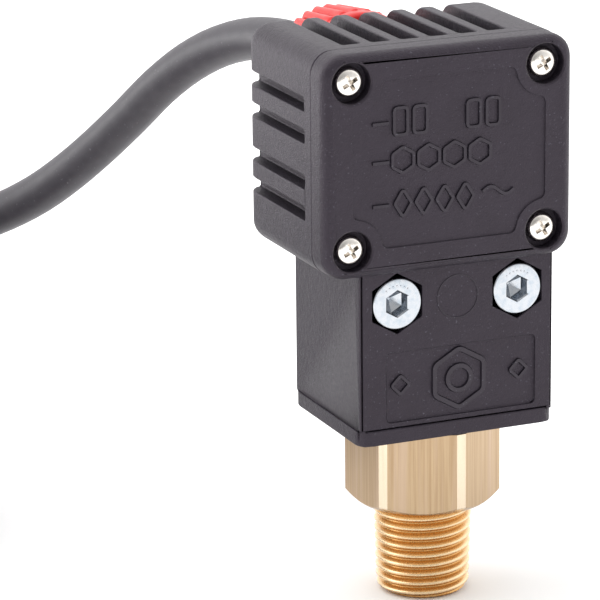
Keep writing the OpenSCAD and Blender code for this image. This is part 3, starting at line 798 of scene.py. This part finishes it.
def make_housing():
    """Ribbed box with the block, its flange and the gland's spigot in one moulding."""
    made = solid("head_housing", [loft(body_rings(SEAM_Y, REAR_Y, 3, 3.2))])
    carve(made, side_grooves())
    carve(made, top_slots())
    centre = (0, (BLOCK_REAR + BLOCK_FRONT) / 2)
    wide, deep = 2 * BLOCK_HALF, BLOCK_REAR - BLOCK_FRONT
    flange_top = BLOCK_Z + 2.1
    front_block = prism(rectangle(wide, deep, 0.5, 4, centre), "Z", flange_top - 0.01, COVER_LOW.z)
    flange = prism(rectangle(wide + 0.4, deep + 0.4, 1.8, 5, centre), "Z", BLOCK_Z, flange_top)
    joining = block((-BLOCK_HALF, SEAM_Y, COVER_LOW.z - 1), (BLOCK_HALF, BLOCK_REAR, 52))
    nub = lathe([(0, 0), (0.45, 0), (0.4, 0.5), (0, 0.6)], 12,
                lambda u, v, h: (BOX_X + BOX_W / 2 - 0.2 + h, SEAM_Y + 1.2 + u, 70.4 + v))
    spigot_y = 12.1
    reach = HOUSE_HIGH.y - spigot_y
    spigot = lathe([(0, 0), (7, 0), (7, reach - 0.3), (6.7, reach), (0, reach)], 64,
                   along_y(BOX_X, spigot_y, GLAND_Z))
    for part in (front_block, flange, joining, nub, spigot):
        carve(made, [part], "UNION")
    room = solid("room", [block((BOX_X - 14.3, SEAM_Y - 1, 52), (BOX_X + 14.3, 10.6, 76))])
    for x, z in SCREWS:
        carve(room, [hole(2.8, 30, 32, along_y(x, SEAM_Y, z))])
    for x, z in CASE_SCREWS:
        carve(room, [hole(2.7, 8, 32, along_y(x, 5.15, z))])
    for x0, x1 in ((-16.7, -5.9), (2.9, 12.3)):
        carve(room, [block((x0, -5.45, 51), (x1, 12, 56.4))])
    carve(made, room)
    for x, z in SCREWS:
        carve(made, [hole(1.08, 7.5, 24, along_y(x, SEAM_Y - 1, z))])
    for x, z in CASE_SCREWS:
        carve(made, [hole(1.33, 6, 24, along_y(x, 4.15, z))])
    carve(made, [lathe([(0, 24), (SOCKET_R, 24), (SOCKET_R, SOCKET_TOP), (1.55, SOCKET_TOP), (1.55, 60),
                        (0, 60)], 72)])
    for side in (-1, 1):
        carve(made, [clamp_hole(side)])
        carve(made, [prism(hexagon(7.1, (side * CLAMP_X, CLAMP_Z)), "Y", 6.5, 20)])
    carve(made, [lathe([(0, 0), (3.6, 0), (3.6, 5.9), (5.45, 5.9), (5.45, 20), (0, 20)], 48,
                       along_y(BOX_X, 9.6, GLAND_Z))])
    carve(made, [prism(plate_outline(0.1), "Z", PLATE_LOW.z - 0.1, PLATE_HIGH.z + 0.4)])
    tidy(made)
    soften(made, 0.2)
    finish_piece(made, "head", "black_moulding", BLACK, stands_for=("housing",))


def make_plate():
    """Front plate with hexagonal pockets, a shallow panel and a plain raised emblem."""
    made = solid("block_plate", [prism(plate_outline(0), "Z", PLATE_LOW.z, PLATE_HIGH.z)])
    face = BLOCK_FRONT + 0.3
    carve(made, [lathe([(0, 24), (SOCKET_R, 24), (SOCKET_R, SOCKET_TOP), (0, SOCKET_TOP)], 72)])
    for side in (-1, 1):
        carve(made, [clamp_hole(side)])
        carve(made, [prism(hexagon(7.2, (side * CLAMP_X, CLAMP_Z)), "Y", -20, BLOCK_FRONT + 4.2)])
    carve(made, [prism(rectangle(21.9, 9.7, 0.7, 4, (0.55, 32.85)), "Y", -20, face)])
    tidy(made)
    soften(made, 0.13)
    finish_piece(made, "head", "black_moulding", BLACK, stands_for=("front_plate",))
    centre = (0.3, 33)
    emblem = [ridge(hexagon(7.2, centre, 3, 0.9), True, 0.45, 0.27, 0.1, face),
              ridge(circle(1.7, 32, centre), True, 0.45, 0.27, 0.1, face)]
    for x in (-8.3, 9.1):
        emblem.append(ridge(diamond(x, 33.1, 1.3, 1.3, 0.25), True, 0.3, 0.27, 0.1, face))
    ejector_mark = circle(2.95, 48, (0, CLAMP_Z))
    emblem.append(ridge(ejector_mark, True, 0.1, 0.07, 0.05, BLOCK_FRONT))
    raised = solid("plate_emblem", emblem)
    shade(raised, 35)
    finish_piece(raised, "head", "black_moulding", MARKS)


def panel_outline():
    """Panel on the cover whose corners are scooped round the screws."""
    points, radii = [], []
    scoop, steps, corner_r = 4.3, 8, 0.9
    for cx, cz, first in ((1, -1, 180), (1, 1, 270), (-1, 1, 0), (-1, -1, 90)):
        x, z = BOX_X + cx * SCREW_DX, BOX_Z + cz * SCREW_DZ
        for k in range(steps + 1):
            a = math.radians(first - 90 * k / steps)
            points.append((x + scoop * math.cos(a), z + scoop * math.sin(a)))
            radii.append(corner_r if k in (0, steps) else 0)
    return rounded(points, radii, 4)


def cover_marks(face):
    """Three rows of plain raised outlines: a dash and hollow cells, and a wave ends the last row."""
    made = []

    def outline(points, closed=True):
        made.append(ridge(points, closed, 0.3, 0.26, 0.1, face))

    for z in (69.5, 64.3, 58.5):
        outline([(-13.2, z), (-12.4, z), (-10.9, z)], closed=False)
    for x in (-9.2, -6.4, 1.3, 4.1):
        outline(rectangle(1.9, 3.6, 0.5, 3, (x, 69.6)))
    for x in (-8.9, -5.2, -1.5, 2.2):
        outline(hexagon(3.0, (x, 64.4), 2, 0.4))
    for x in (-8.9, -5.9, -2.9, 0.1):
        outline(diamond(x, 58.6, 1.2, 1.9, 0.3))
    wave = [(2.6 + 0.38 * k, 58.9 + 0.6 * math.sin(k * math.pi / 6)) for k in range(13)]
    outline(wave, closed=False)
    return made


def make_cover():
    """Front cover with a round front edge, counterbores, a faint panel and plain raised marks."""
    front = COVER_LOW.y
    panel = front + 0.22
    counterbore = [(0, -2), (3.6, -2), (2.95, 0.0), (2.72, 0.2), (2.72, 1.9), (1.25, 1.9), (1.25, 8),
                   (0, 8)]
    made = solid("cover_shell", [loft(body_rings(SEAM_Y, front, 3.2, 1.4))])
    for x, z in SCREWS:
        carve(made, [lathe(counterbore, 48, along_y(x, front, z))])
    carve(made, [prism(panel_outline(), "Y", front - 2, panel)])
    tidy(made)
    soften(made, 0.08)
    finish_piece(made, "head", "black_moulding", BLACK, stands_for=("front_cover",))
    raised = solid("cover_marks", cover_marks(panel))
    shade(raised, 35)
    finish_piece(raised, "head", "black_moulding", MARKS)


def cross_recess(x, y, z):
    """Cutters of a tapered cross in a face at y that looks along -Y."""
    reach, half, deep = 1.25, 0.3, 0.9
    made = []
    for turn in (0.5, 0.5 + math.pi / 2):
        rings = []
        for d, s in ((-0.5, 1.12), (deep, 0.55)):
            ring = []
            for u, v in ((-reach * s, -half * s), (reach * s, -half * s), (reach * s, half * s),
                         (-reach * s, half * s)):
                ring.append((x + u * math.cos(turn) - v * math.sin(turn), y + d,
                             z + u * math.sin(turn) + v * math.cos(turn)))
            rings.append(ring)
        made.append(loft(rings))
    return made


def make_cover_screws():
    """Pan-head screws with a cross recess."""
    face = box_mm("cover_screws")[0].y
    profile = [(0, 0), (0.7, 0.02), (1.3, 0.1), (1.6, 0.2), (1.82, 0.36), (1.96, 0.58), (2.02, 0.85),
               (2.02, 1.3), (1.9, 1.45), (1.05, 1.45)]
    profile += [(1.05 - 0.16 * (k % 2), 1.7 + 0.22 * k) for k in range(28)]
    profile += [(0.5, 8.3), (0, 8.6)]
    for i, (x, z) in enumerate(SCREWS):
        made = solid(f"cover_screw_{i + 1}", [lathe(profile, 48, along_y(x, face, z))])
        for bar in cross_recess(x, face, z):
            carve(made, [bar])
        shade(made, 28)
        finish_piece(made, "head", "zinc_steel", NICKEL, stands_for=("cover_screws",))


def make_clamp_fasteners():
    """Socket head screws with knurled heads, and their nuts."""
    face = box_mm("clamp_screws")[0].y
    nut_low, nut_high = box_mm("clamp_nuts")
    head = [(0, 0), (3.25, 0), (3.36, 0.03), (3.46, 0.14)]
    shank = [(2, 4), (2, 12)] + [(2 - 0.2 * (k % 2), 12.2 + 0.3 * k) for k in range(26)]
    shank += [(1.7, 20.4), (0, 20.6)]
    columns = 144
    for side, name in ((-1, "left"), (1, "right")):
        x = side * CLAMP_X
        rings = []
        for k in range(columns):
            a = 2 * math.pi * k / columns
            knurl = 3.5 - 0.1 * (k % 3 == 1)
            profile = head + [(knurl, 0.4), (knurl, 3.8), (3.2, 4)] + shank
            rings.append([(x + r * math.cos(a), face + h, CLAMP_Z - r * math.sin(a)) for r, h in profile])
        screw = solid(f"clamp_screw_{name}", [loft(rings, closed=True)])
        mouth = hexagon(3.35, (x, CLAMP_Z), 1, 0)
        key = hexagon(3.0, (x, CLAMP_Z), 1, 0)
        tip = [(x + 0.1 * (u - x), CLAMP_Z + 0.1 * (v - CLAMP_Z)) for u, v in key]
        carve(screw, [loft([lay(mouth, "Y", face - 0.01), lay(key, "Y", face + 0.2),
                            lay(key, "Y", face + 2.1), lay(tip, "Y", face + 2.9)])])
        carve(screw, stamp_dots(x, face), "UNION")
        shade(screw, 26)
        finish_piece(screw, "head", "zinc_steel", ZINC, stands_for=("clamp_screws",))
        nut = solid(f"clamp_nut_{name}", [nut_shell(x, nut_low.y, nut_high.y)])
        shade(nut, 20)
        finish_piece(nut, "head", "zinc_steel", ZINC, stands_for=("clamp_nuts",))


def stamp_dots(x, y):
    """Plain raised dots in an arc on a screw's head."""
    r = 2.45
    profile = [(0, 0.1), (0.16, 0.1), (0.16, -0.02), (0.08, -0.07), (0, -0.07)]
    made = []
    for k in range(7):
        a = math.radians(52 + 13 * k)
        made.append(lathe(profile, 10, along_y(x + r * math.cos(a), y, CLAMP_Z + r * math.sin(a))))
    return made


def nut_shell(x, y0, y1):
    """Hexagonal nut along Y with turned corners and a chamfered hole."""
    rings = []
    columns, flat_r, corner_r, face_r = 96, 3.5, 4.0, 3.45
    for k in range(columns):
        a = 2 * math.pi * k / columns
        off = (a + math.pi / 6) % (math.pi / 3) - math.pi / 6
        far = min(flat_r / math.cos(off), corner_r)
        edge = max(0.0, (far - face_r) * 0.6) + 0.02
        profile = [(2.05, y0 + 0.4), (2.3, y0), (face_r, y0), (far, y0 + edge), (far, y1 - edge),
                   (face_r, y1), (2.3, y1), (2.05, y1 - 0.4)]
        rings.append([(x + r * math.cos(a), y, CLAMP_Z + r * math.sin(a)) for r, y in profile])
    return loft(rings, closed=True)


def make_gland_nut():
    """Red gland nut: a smooth shoulder, round ribs that taper to the rear and a round mouth."""
    ribs, per_rib = 28, 10
    start, end = NUT_LOW.y, NUT_HIGH.y
    collar, mouth = start + 2.5, end - 1.1
    big, small = 8.8, 7.6
    rib_height = 0.75

    def base(y):
        return big + (small - big) * max(0.0, (y - collar) / (end - collar))

    # outside rows are (y, radius, share of the ribs), and inside rows (y, radius)
    rows = [(start, 8.25, 0), (start + 0.3, 8.55, 0), (collar - 0.15, 8.6, 0), (collar, 8.5, 0)]
    neck, full = 8.35, base(collar + 0.6)
    rows += [(collar + 0.05 + 0.6 * share, neck + (full - neck) * math.sin(share * math.pi / 2), share)
             for share in (0.0, 0.35, 0.7, 1.0)]
    rows += [(y, base(y), 1) for y in (collar + 2.5, collar + 5, collar + 7.5, mouth)]
    round_r = end - mouth
    rows += [(mouth + round_r * math.sin(a), base(mouth) - round_r * (1 - math.cos(a)), math.cos(a))
             for a in map(math.radians, (22, 45, 68, 88))]
    inside = [(end, 4.0), (end - 0.4, 3.25), (22.75, 3.25), (22.75, 5.65), (21.9, 5.65), (21.9, 7.05),
              (start, 7.05)]
    rings = []
    columns = ribs * per_rib
    for k in range(columns):
        a = 2 * math.pi * k / columns
        fall = rib_height * (1 - abs(math.cos(ribs / 2 * a)) ** 0.75)
        ring = [(r - share * fall, y) for y, r, share in rows] + [(r, y) for y, r in inside]
        rings.append([(BOX_X + r * math.cos(a), y, GLAND_Z + r * math.sin(a)) for r, y in ring])
    made = solid("gland_nut_ribbed", [loft(rings, closed=True)])
    shade(made, 50)
    finish_piece(made, "head", "red_moulding", RED, stands_for=("gland_nut",))


make_fitting()
make_housing()
make_plate()
make_cover()
make_cover_screws()
make_clamp_fasteners()
make_gland_nut()


# ---- CAD nodes that keep their shape ----

KEPT = {
    "guide_bush": TURNED, "spring_adjuster": TURNED, "piston_o_ring": RUBBER, "barrel_seal": RUBBER,
    "cover_gasket": RUBBER, "gland_seal": RUBBER, "backup_ring": GUIDE, "gland_washer": GUIDE,
    "switch_button": GUIDE, "setting_spring": SPRING, "piston": GROUND, "actuator_pin": GROUND,
    "spring_seat": ZINC, "switch_screws": ZINC, "switch_case": RESIN, "switch_lid": RESIN,
    "common_terminal": CONTACT, "closed_terminal": CONTACT, "open_terminal": CONTACT,
    "contact_blade": CONTACT,
    "wire_brown": CORE["brown"], "wire_blue": CORE["blue"], "wire_black": CORE["black"],
}


def keep_nodes():
    """Materials and softened edges for the inner parts."""
    for name, look in KEPT.items():
        node = nodes[name]
        node.data.materials.clear()
        node.data.materials.append(look)
        if not name.startswith(("wire", "setting")):
            merge = node.modifiers.new("merge", "WELD")
            merge.merge_threshold = 0.002 * MM
            flat = node.modifiers.new("flat", "DECIMATE")
            flat.decimate_type = "DISSOLVE"
            flat.angle_limit = math.radians(1)
            bevel = node.modifiers.new("edges", "BEVEL")
            bevel.width = 0.06 * MM
            bevel.limit_method = "ANGLE"
            bevel.angle_limit = math.radians(35)


keep_nodes()


# ---- studio ----

def make_floor():
    """Pale floor just under the thread's tip and the coil, which glows a little away from the switch."""
    half = 3 / MM
    floor = solid("floor", [block((-half, -half, -20), (half, half, -0.05))])
    look = Look("floor_white", (0.9, 0.9, 0.9), 0.9)
    look.tint(look.ramp(look.noise(40, 2), (0.3, 0.0), (0.8, 1.0)), (0.92, 0.92, 0.92))
    far = look.add("VectorMath", {0: look.place}, operation="LENGTH").outputs["Value"]
    glow = look.ramp(far, (0.03, 0.0), (0.08, 0.35))
    look.tree.links.new(glow, look.shader.inputs["Emission Strength"])
    look.shader.inputs["Emission Color"].default_value = (1, 1, 1, 1)
    floor.data.materials.append(look.material)


def area_light(name, place, size, power):
    """Square light that looks at the middle of the switch."""
    data = bpy.data.lights.new(name, "AREA")
    data.shape = "SQUARE"
    data.size = size
    data.energy = power
    light = link(name, data)
    light.location = place
    light.rotation_mode = "QUATERNION"
    light.rotation_quaternion = (Vector((0, 0, 0.045)) - Vector(place)).to_track_quat("-Z", "Y")


def make_world():
    """White light tent that is a little darker on the side from which the switch is seen."""
    world = bpy.data.worlds.new("tent")
    bpy.context.scene.world = world
    world.use_nodes = True
    tree = world.node_tree
    background = tree.nodes["Background"]
    place = tree.nodes.new("ShaderNodeTexCoord")
    facing = tree.nodes.new("ShaderNodeVectorMath")
    facing.operation = "DOT_PRODUCT"
    tree.links.new(place.outputs["Generated"], facing.inputs[0])
    facing.inputs[1].default_value = Vector((TO_CAMERA.x, TO_CAMERA.y, 0)).normalized()
    ramp = tree.nodes.new("ShaderNodeValToRGB")
    for element, (at, grey) in zip(ramp.color_ramp.elements, ((0.1, 1.0), (0.95, 0.3))):
        element.position = at
        element.color = (grey, grey, grey, 1)
    tree.links.new(facing.outputs["Value"], ramp.inputs["Fac"])
    tree.links.new(ramp.outputs["Color"], background.inputs["Color"])
    background.inputs["Strength"].default_value = 1.5


make_floor()
make_world()
area_light("top_light", (-0.25, 0.25, 0.8), 0.7, 2.5)
area_light("left_light", (-0.8, 0.35, 0.3), 0.6, 1.1)
area_light("low_light", (-0.5, 0.45, 0.08), 0.3, 1.0)
bpy.context.scene.view_settings.view_transform = "Standard"
